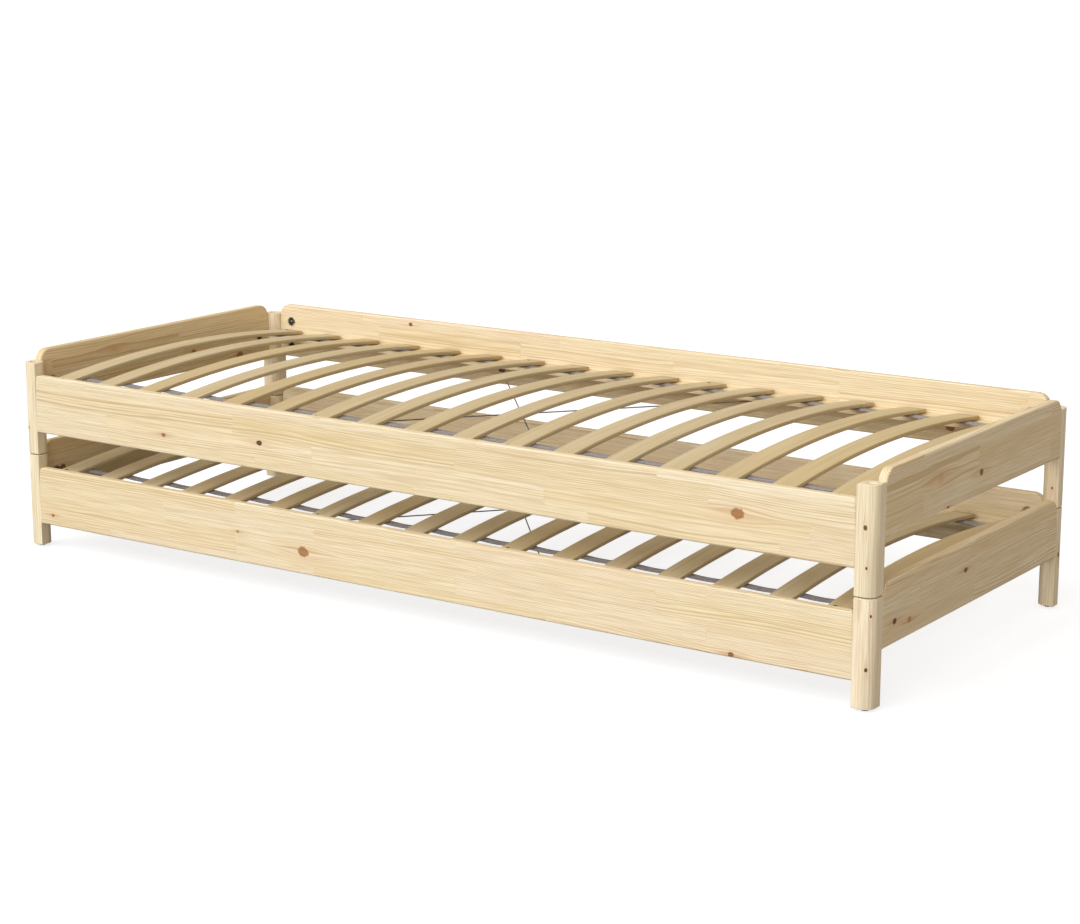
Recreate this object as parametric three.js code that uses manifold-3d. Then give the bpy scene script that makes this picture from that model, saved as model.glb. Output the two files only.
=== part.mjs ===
// Two identical single beds in solid pine, one standing on the other.
// Millimetres, +Z up. The origin is on the floor under the centre of the lower bed, +X runs along
// the length and -Y is the side with the low rail, where one gets into bed.
import * as THREE from "three";
import { mergeVertices } from "three/addons/utils/BufferGeometryUtils.js";
import Module from "manifold-3d";

const wasm = await Module();
wasm.setup();

// The bed as a whole. Heights are counted from the floor that the bed stands on.
const BED_LENGTH = 2050;
const BED_WIDTH = 830;
const FIT_GAP = 0.3; // between pieces that touch on the real bed

// Legs: square posts with two opposite upright edges rounded over.
const LEG_SIDE = 38;
const LEG_HEIGHT = 200;
const LEG_ROUNDING = 19;
const LEG_CHAMFER = 1.2;
const RECESS_RADIUS = 9; // in the top of each leg, for the glide of the bed above
const RECESS_DEPTH = 3;

// Glides: a plastic disc with a stem that is pressed into the leg.
const GLIDE_HEIGHT = 5;
const GLIDE_RADIUS = 7.5;
const GLIDE_EDGE = 0.8;
const STEM_RADIUS = 2.2;
const STEM_LENGTH = 14;

// Boards: rails along the length, end boards across it.
const BOARD_THICKNESS = 18;
const BOARD_EDGE = 2;
const BOARD_TOP = 227; // of the back rail and both end boards
const END_BOARD_HEIGHT = 120;
const END_BOARD_ROUNDING = 28;
const RAIL_HEIGHT = 125;
const BACK_RAIL_ROUNDING = 24;
const FRONT_RAIL_TOP = 179;
const FRONT_RAIL_ROUNDING = 9;

// Round pockets for the leg bolts' cross nuts, on the inner faces of the boards.
const POCKET_RADIUS = 12;
const POCKET_DEPTH = 11;
const POCKET_INSET = 34; // from the end of the board
const BACK_RAIL_POCKETS = [126, 186];
const FRONT_RAIL_POCKETS = [84, 124];
const END_BOARD_POCKETS = [155];

// Ledges: strips glued along the long rails, under the ends of the slats.
const LEDGE_TOP = 160;
const LEDGE_HEIGHT = 18;
const LEDGE_DEPTH = 22;
const LEDGE_SETBACK = 12; // from the ends of the rail

// Slats: arched strips of laminated birch.
const SLAT_COUNT = 17;
const SLAT_PITCH = 117.3;
const SLAT_WIDTH = 47;
const SLAT_THICKNESS = 8;
const SLAT_HALF_SPAN = 392;
const SLAT_RISE = 25;
const SLAT_ARC_STEPS = 6; // doubled along each face

// Wire brace: two steel wires from rail to rail, crossing under the slats.
const WIRE_RADIUS = 1.25;
const WIRE_TOP = LEDGE_TOP - LEDGE_HEIGHT - FIT_GAP; // of the upper wire and the end plates
const WIRE_HEIGHT = WIRE_TOP - 2 * WIRE_RADIUS; // where the two wires touch
const WIRE_HALF_SPREAD = 332; // along the length, from the crossing to an end
const WIRE_PLATE = { width: 16, height: 11, thickness: 2 };
const WIRE_CLIP_RADIUS = 7;

const ROUND_SIDES = 16;
const CORNER_STEPS = 3; // doubled over a rounded corner
const WIRE_SIDES = 8;
const OVERLAP = 1; // how far joined shapes run into each other, and cutters past a face

// The glide of the upper bed stands on the floor of the recess in the lower bed's leg.
const STACK_HEIGHT = GLIDE_HEIGHT + LEG_HEIGHT - RECESS_DEPTH + FIT_GAP;

const finishes = {
  pine: { color: 0xecd9ae, roughness: 0.62, metalness: 0 },
  birch: { color: 0xdcc99e, roughness: 0.55, metalness: 0 },
  plastic: { color: 0x1c1c1e, roughness: 0.5, metalness: 0 },
  wire: { color: 0x55555a, roughness: 0.4, metalness: 0.9 },
};

function namedMesh(name, geometry, finish) {
  const mesh = new THREE.Mesh(geometry, new THREE.MeshStandardMaterial(finishes[finish]));
  mesh.name = name;
  return mesh;
}

// A closed geometry as a solid that can be joined and cut.
function solidOf(geometry) {
  const plain = geometry.clone();
  plain.deleteAttribute("normal");
  plain.deleteAttribute("uv");
  const merged = mergeVertices(plain, 1e-4);
  return new wasm.Manifold(
    new wasm.Mesh({
      numProp: 3,
      vertProperties: merged.getAttribute("position").array,
      triVerts: new Uint32Array(merged.index.array),
    }),
  );
}

function geometryOf(solid) {
  const { vertProperties, triVerts } = solid.getMesh();
  const geometry = new THREE.BufferGeometry();
  geometry.setAttribute("position", new THREE.BufferAttribute(vertProperties, 3));
  geometry.setIndex(new THREE.BufferAttribute(triVerts, 1));
  geometry.computeVertexNormals();
  return geometry;
}

function uprightCylinder(radius, height, x, y, bottom) {
  const cylinder = new THREE.CylinderGeometry(radius, radius, height, ROUND_SIDES);
  return cylinder.rotateX(Math.PI / 2).translate(x, y, bottom + height / 2);
}

// An outline extruded with its rims eased, without growing past the outline or the depth.
function easedExtrusion(outline, depth, edge) {
  const geometry = new THREE.ExtrudeGeometry(outline, {
    depth: depth - 2 * edge,
    bevelThickness: edge,
    bevelSize: edge,
    bevelOffset: -edge,
    bevelSegments: 1,
    curveSegments: CORNER_STEPS,
  });
  return geometry.translate(0, 0, edge);
}

// A leg standing on its glide, with its axis on Z and its rounded edges towards -X-Y and +X+Y.
function legGeometry() {
  const half = LEG_SIDE / 2;
  const arcCentre = half - LEG_ROUNDING;
  const outline = new THREE.Shape();
  outline.moveTo(-arcCentre, -half);
  outline.lineTo(half, -half);
  outline.lineTo(half, arcCentre);
  outline.absarc(arcCentre, arcCentre, LEG_ROUNDING, 0, Math.PI / 2);
  outline.lineTo(-half, half);
  outline.lineTo(-half, -arcCentre);
  outline.absarc(-arcCentre, -arcCentre, LEG_ROUNDING, Math.PI, Math.PI * 1.5);
  const post = easedExtrusion(outline, LEG_HEIGHT, LEG_CHAMFER).translate(0, 0, GLIDE_HEIGHT);

  const legTop = GLIDE_HEIGHT + LEG_HEIGHT;
  const recess = uprightCylinder(
    RECESS_RADIUS, RECESS_DEPTH + OVERLAP, 0, 0, legTop - RECESS_DEPTH,
  );
  const stemHole = uprightCylinder(
    STEM_RADIUS + FIT_GAP, STEM_LENGTH + FIT_GAP + OVERLAP, 0, 0, GLIDE_HEIGHT - OVERLAP,
  );
  return geometryOf(solidOf(post).subtract(solidOf(recess)).subtract(solidOf(stemHole)));
}

// The disc stops short of the leg by the fit gap.
function glideGeometry() {
  const discTop = GLIDE_HEIGHT - FIT_GAP;
  const profile = [
    new THREE.Vector2(0, 0),
    new THREE.Vector2(GLIDE_RADIUS - GLIDE_EDGE, 0),
    new THREE.Vector2(GLIDE_RADIUS, GLIDE_EDGE),
    new THREE.Vector2(GLIDE_RADIUS, discTop - GLIDE_EDGE),
    new THREE.Vector2(GLIDE_RADIUS - GLIDE_EDGE, discTop),
    new THREE.Vector2(STEM_RADIUS, discTop),
    new THREE.Vector2(STEM_RADIUS, GLIDE_HEIGHT + STEM_LENGTH - GLIDE_EDGE),
    new THREE.Vector2(0, GLIDE_HEIGHT + STEM_LENGTH),
  ];
  return new THREE.LatheGeometry(profile, ROUND_SIDES).rotateX(Math.PI / 2);
}

// A board along X, with its outer face on y = 0 and its inner face on y = BOARD_THICKNESS.
function boardSolid({ length, height, top, rounding, pockets }) {
  const outline = new THREE.Shape();
  const half = length / 2;
  outline.moveTo(-half, top - height);
  outline.lineTo(half, top - height);
  outline.lineTo(half, top - rounding);
  outline.absarc(half - rounding, top - rounding, rounding, 0, Math.PI / 2);
  outline.lineTo(rounding - half, top);
  outline.absarc(rounding - half, top - rounding, rounding, Math.PI / 2, Math.PI);
  const board = easedExtrusion(outline, BOARD_THICKNESS, BOARD_EDGE)
    .rotateX(Math.PI / 2)
    .translate(0, BOARD_THICKNESS, 0);

  let solid = solidOf(board);
  for (const side of [-1, 1]) {
    for (const pocketHeight of pockets) {
      const depth = POCKET_DEPTH + OVERLAP;
      const pocket = new THREE.CylinderGeometry(
        POCKET_RADIUS, POCKET_RADIUS, depth, ROUND_SIDES,
      ).translate(
        side * (half - POCKET_INSET),
        BOARD_THICKNESS - POCKET_DEPTH + depth / 2,
        pocketHeight,
      );
      solid = solid.subtract(solidOf(pocket));
    }
  }
  return solid;
}

// A long rail with the ledge for the slats glued to its inner face.
function railGeometry(board) {
  const ledge = new THREE.BoxGeometry(
    board.length - 2 * LEDGE_SETBACK, LEDGE_DEPTH + OVERLAP, LEDGE_HEIGHT,
  ).translate(
    0,
    BOARD_THICKNESS + (LEDGE_DEPTH - OVERLAP) / 2,
    LEDGE_TOP - LEDGE_HEIGHT / 2,
  );
  return geometryOf(boardSolid(board).add(solidOf(ledge)));
}

// A slat across the bed, centred on x = 0, its two faces arcs about one centre.
function slatGeometry() {
  const outerRadius = (SLAT_HALF_SPAN ** 2 + SLAT_RISE ** 2) / (2 * SLAT_RISE);
  const halfAngle = Math.asin(SLAT_HALF_SPAN / outerRadius);
  const endTop = LEDGE_TOP + FIT_GAP + SLAT_THICKNESS;
  const arcCentre = endTop + SLAT_RISE - outerRadius;
  const innerRadius = outerRadius - SLAT_THICKNESS;
  const outline = new THREE.Shape();
  outline.absarc(
    0, arcCentre, outerRadius, Math.PI / 2 - halfAngle, Math.PI / 2 + halfAngle,
  );
  outline.absarc(
    0, arcCentre, innerRadius, Math.PI / 2 + halfAngle, Math.PI / 2 - halfAngle, true,
  );
  return new THREE.ExtrudeGeometry(outline, {
    depth: SLAT_WIDTH,
    bevelEnabled: false,
    curveSegments: SLAT_ARC_STEPS,
  })
    .rotateX(Math.PI / 2)
    .rotateZ(Math.PI / 2)
    .translate(-SLAT_WIDTH / 2, 0, 0);
}

// Two wires crossing one above the other, a clip at the crossing and a plate at each end.
function braceGeometry() {
  const reach = BED_WIDTH / 2 - BOARD_THICKNESS - FIT_GAP;
  const plateY = reach - WIRE_PLATE.thickness / 2;
  const plateZ = WIRE_TOP - WIRE_PLATE.height / 2;
  const wireLength = 2 * Math.hypot(WIRE_HALF_SPREAD, plateY);
  const turn = Math.atan2(WIRE_HALF_SPREAD, plateY);
  const pieces = [];
  for (const side of [-1, 1]) {
    const wire = new THREE.CylinderGeometry(WIRE_RADIUS, WIRE_RADIUS, wireLength, WIRE_SIDES);
    wire.rotateZ(side * turn).translate(0, 0, WIRE_HEIGHT - side * WIRE_RADIUS);
    pieces.push(wire);
    for (const end of [-1, 1]) {
      const plate = new THREE.BoxGeometry(
        WIRE_PLATE.width, WIRE_PLATE.thickness, WIRE_PLATE.height,
      );
      pieces.push(plate.translate(end * WIRE_HALF_SPREAD, side * plateY, plateZ));
    }
  }
  const clipHeight = 4 * WIRE_RADIUS + 2 * OVERLAP;
  pieces.push(
    uprightCylinder(WIRE_CLIP_RADIUS, clipHeight, 0, 0, WIRE_HEIGHT - clipHeight / 2),
  );
  return geometryOf(pieces.map(solidOf).reduce((joined, piece) => joined.add(piece)));
}

// One whole bed, standing on z = 0. Every name starts with the bed's own name.
function bed(name) {
  const group = new THREE.Group();
  const halfLength = BED_LENGTH / 2;
  const halfWidth = BED_WIDTH / 2;
  const add = (piece, geometry, finish) => {
    const mesh = namedMesh(`${name}_${piece}`, geometry, finish);
    group.add(mesh);
    return mesh;
  };

  for (const [end, endSign] of [["left", -1], ["right", 1]]) {
    for (const [side, sideSign] of [["front", -1], ["back", 1]]) {
      const x = endSign * (halfLength - LEG_SIDE / 2);
      const y = sideSign * (halfWidth - LEG_SIDE / 2);
      const leg = add(`leg_${side}_${end}`, legGeometry(), "pine");
      leg.position.set(x, y, 0);
      leg.rotation.z = endSign === sideSign ? 0 : Math.PI / 2;
      add(`glide_${side}_${end}`, glideGeometry(), "plastic").position.set(x, y, 0);
    }
  }

  const railLength = BED_LENGTH - 2 * (LEG_SIDE + FIT_GAP);
  const frontRail = railGeometry({
    length: railLength,
    height: RAIL_HEIGHT,
    top: FRONT_RAIL_TOP,
    rounding: FRONT_RAIL_ROUNDING,
    pockets: FRONT_RAIL_POCKETS,
  });
  const backRail = railGeometry({
    length: railLength,
    height: RAIL_HEIGHT,
    top: BOARD_TOP,
    rounding: BACK_RAIL_ROUNDING,
    pockets: BACK_RAIL_POCKETS,
  });
  const endBoard = geometryOf(boardSolid({
    length: BED_WIDTH - 2 * (LEG_SIDE + FIT_GAP),
    height: END_BOARD_HEIGHT,
    top: BOARD_TOP,
    rounding: END_BOARD_ROUNDING,
    pockets: END_BOARD_POCKETS,
  }));
  // Each board turns about Z so that its outer face looks out of the bed.
  const boards = [
    ["front_rail", frontRail, 0, [0, -halfWidth]],
    ["back_rail", backRail, Math.PI, [0, halfWidth]],
    ["end_board_left", endBoard, -Math.PI / 2, [-halfLength, 0]],
    ["end_board_right", endBoard, Math.PI / 2, [halfLength, 0]],
  ];
  for (const [piece, geometry, turn, [x, y]] of boards) {
    const board = add(piece, geometry, "pine");
    board.rotation.z = turn;
    board.position.set(x, y, 0);
  }

  const slat = slatGeometry();
  for (let index = 0; index < SLAT_COUNT; index += 1) {
    const number = String(index + 1).padStart(2, "0");
    const fromMiddle = index - (SLAT_COUNT - 1) / 2;
    add(`slat_${number}`, slat, "birch").position.x = fromMiddle * SLAT_PITCH;
  }

  add("wire_brace", braceGeometry(), "wire");
  return group;
}

const stackedBeds = new THREE.Group();
const lowerBed = bed("lower");
const upperBed = bed("upper");
upperBed.position.z = STACK_HEIGHT;
stackedBeds.add(lowerBed, upperBed);

export default stackedBeds;
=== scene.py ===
"""Two identical single beds in solid pine, one standing on the other, as finished pieces.

Metres, +Z up. The origin is on the floor under the centre of the lower bed, +X runs along the
length, and -Y is the side with the low rail.
"""

import math

import bmesh
import bpy
from bpy.props import FloatProperty, FloatVectorProperty, IntProperty, PointerProperty
from mathutils import Matrix, Vector


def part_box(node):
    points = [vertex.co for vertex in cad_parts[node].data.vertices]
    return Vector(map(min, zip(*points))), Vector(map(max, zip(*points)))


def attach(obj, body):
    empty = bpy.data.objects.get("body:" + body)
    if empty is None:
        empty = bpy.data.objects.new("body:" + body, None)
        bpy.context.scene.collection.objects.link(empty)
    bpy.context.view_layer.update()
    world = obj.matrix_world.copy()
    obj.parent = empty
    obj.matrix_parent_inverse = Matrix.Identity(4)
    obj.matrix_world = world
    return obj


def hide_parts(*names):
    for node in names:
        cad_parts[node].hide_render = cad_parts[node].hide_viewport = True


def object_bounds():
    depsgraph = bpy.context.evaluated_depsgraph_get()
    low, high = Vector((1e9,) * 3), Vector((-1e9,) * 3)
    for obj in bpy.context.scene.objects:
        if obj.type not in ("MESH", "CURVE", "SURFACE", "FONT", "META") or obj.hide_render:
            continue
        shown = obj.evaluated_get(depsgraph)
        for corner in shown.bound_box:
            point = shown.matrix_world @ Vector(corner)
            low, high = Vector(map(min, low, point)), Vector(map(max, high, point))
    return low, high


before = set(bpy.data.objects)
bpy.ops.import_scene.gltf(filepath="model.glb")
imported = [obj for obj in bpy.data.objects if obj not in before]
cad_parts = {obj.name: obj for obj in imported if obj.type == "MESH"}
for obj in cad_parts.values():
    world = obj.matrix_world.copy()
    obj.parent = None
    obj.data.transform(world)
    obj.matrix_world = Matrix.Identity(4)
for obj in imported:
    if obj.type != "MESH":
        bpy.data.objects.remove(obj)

bl_info = {
    "name": "Stacking Pine Beds",
    "version": (1, 0, 0),
    "blender": (4, 5, 0),
    "location": "View3D > Sidebar > Beds",
    "description": "Builds two stacked slatted beds with their fittings and a plain studio",
    "category": "Add Mesh",
}

CAD_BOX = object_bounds()
BEDS = {"lower": "lower_bed", "upper": "upper_bed"}
ENDS = {"left": -1, "right": 1}
SIDES = {"front": -1, "back": 1}
SLAT_NUMBERS = range(1, 18)
SCREWED_SLATS = (1, 7, 11, 17)
# Heights of the cross nut pockets above the floor that the bed stands on.
BACK_RAIL_POCKETS = (0.126, 0.186)
FRONT_RAIL_POCKETS = (0.084, 0.124)
END_BOARD_POCKETS = (0.155,)
STACK_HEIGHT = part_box("upper_glide_front_left")[0].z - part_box("lower_glide_front_left")[0].z
X_AXIS = Vector((1, 0, 0))
Y_AXIS = Vector((0, 1, 0))
Z_AXIS = Vector((0, 0, 1))

# The studio: where the camera stands and looks, in metres and degrees, and where light comes from.
CAMERA_PLACE = (2.887, -4.135, 1.386)
CAMERA_DIP = 12.8  # how far it looks down
CAMERA_TURN = 34.5  # how far it stands round towards the right end
TOWARDS_KEY = Vector((-0.41, -0.60, 0.80))
TOWARDS_SIDE_LIGHT = Vector((0.22, -0.92, 0.30))
LIGHT_TINT = (0.96, 1.0, 1.07)
FLOOR_HALF_WIDTH = 70.0
FLOOR_DROP = 0.0002


# ---------------------------------------------------------------- settings


def length(name, description, default):
    return FloatProperty(
        name=name, description=description, default=default, min=0.0, precision=4, unit="LENGTH"
    )


def amount(name, description, default):
    return FloatProperty(name=name, description=description, default=default, min=0.0)


def colour(name, description, default):
    return FloatVectorProperty(
        name=name, description=description, default=default, min=0.0, max=1.0, subtype="COLOR"
    )


class BedSizes(bpy.types.PropertyGroup):
    """Sizes of the details on the pieces"""

    leg_rounding: length("Leg rounding", "Radius of a leg's two round edges", 0.019)
    leg_easing: length("Leg easing", "Easing round the top and bottom of a leg", 0.0013)
    recess_radius: length("Recess radius", "Recess in a leg's top for a glide", 0.009)
    recess_depth: length("Recess depth", "Depth of that recess", 0.003)
    board_thickness: length("Board thickness", "Of the rails and end boards", 0.018)
    board_easing: length("Board easing", "Easing along a board's long edges", 0.0035)
    front_rail_rounding: length("Front rail rounding", "At its top corners", 0.009)
    back_rail_rounding: length("Back rail rounding", "At its top corners", 0.024)
    end_board_rounding: length("End board rounding", "At its top corners", 0.028)
    pocket_radius: length("Pocket radius", "Of a cross nut's pocket", 0.012)
    pocket_depth: length("Pocket depth", "Of a cross nut's pocket", 0.011)
    pocket_inset: length("Pocket inset", "From the board's end to the pocket", 0.034)
    ledge_height: length("Ledge height", "Of the strip under the slat ends", 0.018)
    ledge_top: length("Ledge top", "Height of the ledge above the floor", 0.160)
    ledge_setback: length("Ledge setback", "From the rail's end to the ledge's", 0.012)
    slat_rise: length("Slat rise", "From a slat's end to its crown", 0.025)
    slat_thickness: length("Slat thickness", "Of the laminated strip", 0.008)
    slat_easing: length("Slat easing", "Along a slat's edges", 0.0013)
    slat_steps: IntProperty(
        name="Slat steps", description="Segments along a slat's arch", default=28, min=8
    )
    screw_radius: length("Screw radius", "Head of a slat screw", 0.0038)
    screw_reach: length("Screw reach", "From the bed's middle to a slat screw", 0.373)
    screw_offset: length("Screw offset", "From a slat's middle to its screw", 0.008)
    tape_width: length("Tape width", "Of the webbing under the slats", 0.023)
    tape_thickness: length("Tape thickness", "Of the webbing", 0.0019)
    tape_reach: length("Tape reach", "From the bed's middle to a tape", 0.329)
    tape_sag: length("Tape sag", "Of the webbing between two slats", 0.0016)
    wire_radius: length("Wire radius", "Of the brace wires", 0.00125)
    wire_spread: length("Wire spread", "From the crossing to a wire's end, along the bed", 0.332)
    wire_bend: length("Wire bend", "Radius of a wire's bend at the rail", 0.007)
    clip_height: length("Clip height", "Of the clip where two wires cross", 0.007)
    plate_height: length("Plate height", "Of the plate at a wire's end", 0.011)


class BedColours(bpy.types.PropertyGroup):
    """Colours of the finishes"""

    pine: colour("Pine", "Pale early wood", (0.91, 0.805, 0.57))
    pine_rosy: colour("Rosy pine", "Early wood of the pinker blocks", (0.91, 0.785, 0.57))
    pine_line: colour("Pine line", "Late wood lines", (0.58, 0.40, 0.19))
    pine_heart: colour("Pine heart", "Yellower streaks", (0.80, 0.635, 0.345))
    knot: colour("Knot", "Dark middle of a knot", (0.055, 0.022, 0.009))
    knot_halo: colour("Knot halo", "Wood round a knot", (0.60, 0.27, 0.085))
    birch: colour("Birch", "Face veneer of the slats", (0.70, 0.60, 0.385))
    birch_dark: colour("Birch dark", "Darker streaks in the veneer", (0.565, 0.43, 0.22))
    birch_yellow: colour("Birch yellow", "Veneer of the yellower slats", (0.71, 0.555, 0.285))
    birch_glue: colour("Birch glue", "Glue lines and end grain", (0.30, 0.215, 0.12))
    webbing: colour("Webbing", "Light threads", (0.52, 0.48, 0.45))
    webbing_dark: colour("Webbing dark", "Dark threads", (0.17, 0.15, 0.14))
    # This zinc colour is set dark so that the cross nut pockets look dark: it is the metal's own
    # tone together with painted shade in the pockets.
    zinc: colour("Zinc", "Plated fittings", (0.17, 0.16, 0.15))
    screw: colour("Screw", "Slat screws", (0.16, 0.15, 0.14))
    wire: colour("Wire", "Brace wires", (0.30, 0.30, 0.31))
    glide: colour("Glide", "Moulded glides", (0.02, 0.02, 0.022))
    floor: colour("Floor", "Studio floor", (0.36, 0.36, 0.36))
    fill: colour("Fill", "Tint of the light from all round", (1.0, 0.885, 0.785))


class BedStudio(bpy.types.PropertyGroup):
    """Camera and light"""

    lens: FloatProperty(
        name="Lens", description="Focal length in millimetres", default=83.03, min=10.0
    )
    key: amount("Key light", "Strength of the soft light from the front left", 1.80)
    side_light: amount("Side light", "Strength of the soft light from the front right", 1.44)
    light_size: FloatProperty(
        name="Light size", description="Angle that each of the two soft lights fills",
        default=math.radians(50), subtype="ANGLE",
    )
    floor_glow: amount("Floor glow", "Lightens the shadows on the floor", 0.78)
    fill: amount("Fill light", "Strength of the light from all round", 0.50)


# ---------------------------------------------------------------- mesh helpers


def box_between(low, high):
    """A mesh in the making: a box that fills the space between two corners."""
    bm = bmesh.new()
    bmesh.ops.create_cube(bm, size=1)
    bmesh.ops.scale(bm, vec=high - low, verts=bm.verts)
    bmesh.ops.translate(bm, vec=(low + high) / 2, verts=bm.verts)
    return bm


def cylinder(place, radius, depth, sides):
    """A mesh in the making: a closed cylinder about a place's Z axis."""
    bm = bmesh.new()
    bmesh.ops.create_cone(
        bm, cap_ends=True, segments=sides, radius1=radius, radius2=radius, depth=depth,
        matrix=place,
    )
    return bm


def everything(bm):
    return bm.verts[:] + bm.edges[:] + bm.faces[:]


def verts_in(made):
    return [item for item in made if isinstance(item, bmesh.types.BMVert)]


def edges_in(made):
    return [item for item in made if isinstance(item, bmesh.types.BMEdge)]


def edges_between(made, verts):
    """The edges among newly made parts that join two of the vertices."""
    return [edge for edge in edges_in(made) if all(vert in verts for vert in edge.verts)]


def span_of(edge):
    return edge.verts[1].co - edge.verts[0].co


def smooth_round(bm, axis, limit=0.5):
    """Shades smooth every face that doesn't look along an axis."""
    for face in bm.faces:
        face.smooth = abs(face.normal.dot(axis)) < limit


def ease(bm, edges, size):
    """Takes the sharpness off edges and leaves them flat shaded."""
    bmesh.ops.bevel(
        bm, geom=edges, offset=size, segments=2, profile=0.5, affect="EDGES", material=-1
    )


def round_over(bm, edges, radius, segments):
    """Rounds the edges and shades the new strip smooth."""
    made = bmesh.ops.bevel(
        bm, geom=edges, offset=radius, offset_type="OFFSET", segments=segments,
        profile=0.5, affect="EDGES", material=-1, clamp_overlap=True,
    )
    for face in made["faces"]:
        face.smooth = True


def face_towards(bm, direction):
    """The face that lies furthest out along a direction and looks that way."""
    facing = [face for face in bm.faces if face.normal.dot(direction) > 0.999]
    if not facing:
        raise RuntimeError(f"no face looks along {tuple(direction)}")
    return max(facing, key=lambda face: (round(face.calc_center_median().dot(direction), 5),
                                         face.calc_area()))


def turn_to(direction):
    """The turn that takes +Z to a direction."""
    return Z_AXIS.rotation_difference(direction).to_matrix().to_4x4()


def sink_pockets(bm, face, centres, radius, depth, sides=32):
    """Sinks round flat-bottomed pockets into a flat face."""
    inward = -face.normal.copy()
    outline = list(face.edges)
    bmesh.ops.delete(bm, geom=[face], context="FACES_ONLY")
    rims = []
    for centre in centres:
        place = Matrix.Translation(centre) @ turn_to(-inward)
        ring = bmesh.ops.create_circle(
            bm, cap_ends=False, segments=sides, radius=radius, matrix=place
        )["verts"]
        rims.append({edge for vert in ring for edge in vert.link_edges})
    rim_edges = [edge for rim in rims for edge in rim]
    bmesh.ops.triangle_fill(
        bm, use_beauty=True, use_dissolve=False, edges=outline + rim_edges, normal=-inward
    )
    for rim in rims:
        sunk = bmesh.ops.extrude_edge_only(bm, edges=list(rim))["geom"]
        verts = verts_in(sunk)
        bottom = edges_between(sunk, verts)
        for item in sunk:
            if isinstance(item, bmesh.types.BMFace):
                item.smooth = True
        bmesh.ops.translate(bm, vec=inward * depth, verts=verts)
        bmesh.ops.edgeloop_fill(bm, edges=bottom)


def join_parts(bm, part):
    """Adds one mesh in the making to another and frees it."""
    mesh = bpy.data.meshes.new("part")
    part.to_mesh(mesh)
    part.free()
    bm.from_mesh(mesh)
    bpy.data.meshes.remove(mesh)


def object_from(name, bm, material):
    """Turns a mesh in the making into an object in the scene and frees it."""
    mesh = bpy.data.meshes.new(name)
    bm.to_mesh(mesh)
    bm.free()
    mesh.materials.append(material)
    made = bpy.data.objects.new(name, mesh)
    bpy.context.scene.collection.objects.link(made)
    return made


def finish_piece(name, bm, bed, material, replaces=()):
    """Turns a mesh in the making into a piece that rides on its bed."""
    bmesh.ops.remove_doubles(bm, verts=bm.verts, dist=1e-6)
    bmesh.ops.recalc_face_normals(bm, faces=bm.faces)
    piece = object_from(name, bm, material)
    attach(piece, BEDS[bed])
    if replaces:
        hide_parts(*replaces)
    return piece


def floor_of(bed):
    """Height of the surface that a bed stands on."""
    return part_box(f"{bed}_glide_front_left")[0].z


# ---------------------------------------------------------------- node helpers


def feed(tree, socket, value):
    """Gives a socket a link or a plain value."""
    if isinstance(value, bpy.types.NodeSocket):
        tree.links.new(value, socket)
    else:
        socket.default_value = value


def maths(tree, operation, *values):
    node = tree.nodes.new("ShaderNodeMath")
    node.operation = operation
    for socket, value in zip(node.inputs, values):
        feed(tree, socket, value)
    return node.outputs[0]


def times(tree, first, second):
    return maths(tree, "MULTIPLY", first, second)


def plus(tree, first, second):
    return maths(tree, "ADD", first, second)


def minus(tree, first, second):
    return maths(tree, "SUBTRACT", first, second)


def times_plus(tree, first, second, added):
    return maths(tree, "MULTIPLY_ADD", first, second, added)


def distance_from(tree, value, middle):
    return maths(tree, "ABSOLUTE", minus(tree, value, middle))


def vector_maths(tree, operation, *values):
    node = tree.nodes.new("ShaderNodeVectorMath")
    node.operation = operation
    for socket, value in zip(node.inputs, values):
        feed(tree, socket, value)
    return node.outputs["Value" if operation in {"LENGTH", "DOT_PRODUCT"} else "Vector"]


def combined(tree, x, y, z):
    node = tree.nodes.new("ShaderNodeCombineXYZ")
    for socket, value in zip(node.inputs, (x, y, z)):
        feed(tree, socket, value)
    return node.outputs[0]


def separated(tree, vector):
    node = tree.nodes.new("ShaderNodeSeparateXYZ")
    feed(tree, node.inputs[0], vector)
    return node.outputs[0], node.outputs[1], node.outputs[2]


def object_place(tree):
    return tree.nodes.new("ShaderNodeTexCoord").outputs["Object"]


def noise(tree, vector, scale, detail=2.0, roughness=0.5):
    node = tree.nodes.new("ShaderNodeTexNoise")
    feed(tree, node.inputs["Vector"], vector)
    feed(tree, node.inputs["Scale"], scale)
    feed(tree, node.inputs["Detail"], detail)
    feed(tree, node.inputs["Roughness"], roughness)
    return node.outputs["Fac"]


def drawn_out_noise(tree, place, per_metre, detail, roughness=0.5):
    """Noise that changes at its own rate along each axis."""
    scaled = vector_maths(tree, "MULTIPLY", place, Vector(per_metre))
    return noise(tree, scaled, 1.0, detail, roughness)


def chance(tree, seed):
    """Three even random numbers from one seed."""
    node = tree.nodes.new("ShaderNodeTexWhiteNoise")
    node.noise_dimensions = "1D"
    feed(tree, node.inputs["W"], seed)
    return separated(tree, node.outputs["Color"])


def between(tree, value, low, high, to_low=0.0, to_high=1.0):
    """Takes a value smoothly from one range to another and holds it there."""
    node = tree.nodes.new("ShaderNodeMapRange")
    node.interpolation_type = "SMOOTHSTEP"
    for socket, number in zip(node.inputs, (value, low, high, to_low, to_high)):
        feed(tree, socket, number)
    return node.outputs[0]


def blended(tree, share, first, second):
    node = tree.nodes.new("ShaderNodeMix")
    node.data_type = "RGBA"
    node.clamp_factor = True
    feed(tree, node.inputs["Factor"], share)
    feed(tree, node.inputs["A"], opaque(first))
    feed(tree, node.inputs["B"], opaque(second))
    return node.outputs["Result"]


def opaque(value):
    """A colour setting as the four numbers that a socket takes."""
    return value if isinstance(value, bpy.types.NodeSocket) else (*value, 1.0)


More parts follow.
